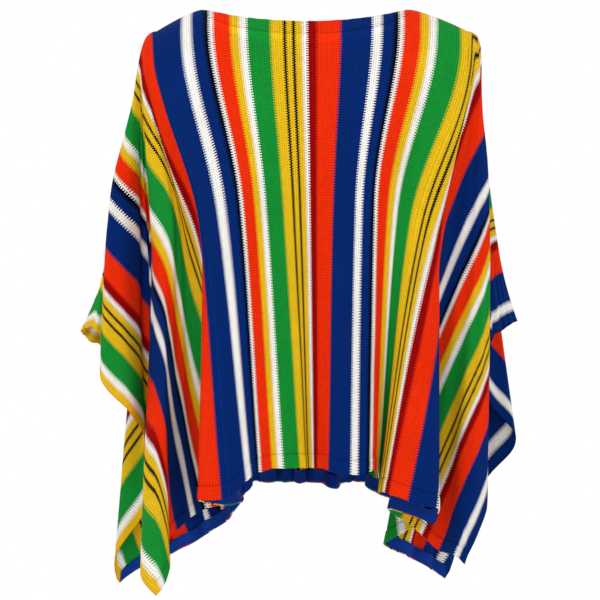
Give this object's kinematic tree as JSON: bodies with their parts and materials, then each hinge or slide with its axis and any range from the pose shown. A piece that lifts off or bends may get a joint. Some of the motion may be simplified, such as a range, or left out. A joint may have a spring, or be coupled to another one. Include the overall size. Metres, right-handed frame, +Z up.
{
  "type": "poncho sweater",
  "caption": "Wide knitted poncho sweater with a boat neck and open sides, worn and hanging in folds from the shoulders.",
  "frame": {"origin": "middle of the shoulder line, between the two neck corners, where the shoulders hold the garment", "axes": "+Z up, +X towards the wearer's left (the viewer's right), -Y towards the front"},
  "size_m": [0.6069, 0.2648, 0.7919],
  "materials": {
    "knit": "matte fine knit in broad upright stripes",
    "hem_facing": "matte plain knit",
    "neck_facing": "matte fine knit, the turned-in neck edge"
  },
  "bodies": {
    "root": {"front_panel": "knit", "back_panel": "knit", "front_hem_facing": "hem_facing", "back_hem_facing": "hem_facing", "front_neck_facing": "neck_facing", "back_neck_facing": "neck_facing"}
  },
  "joints": []
}
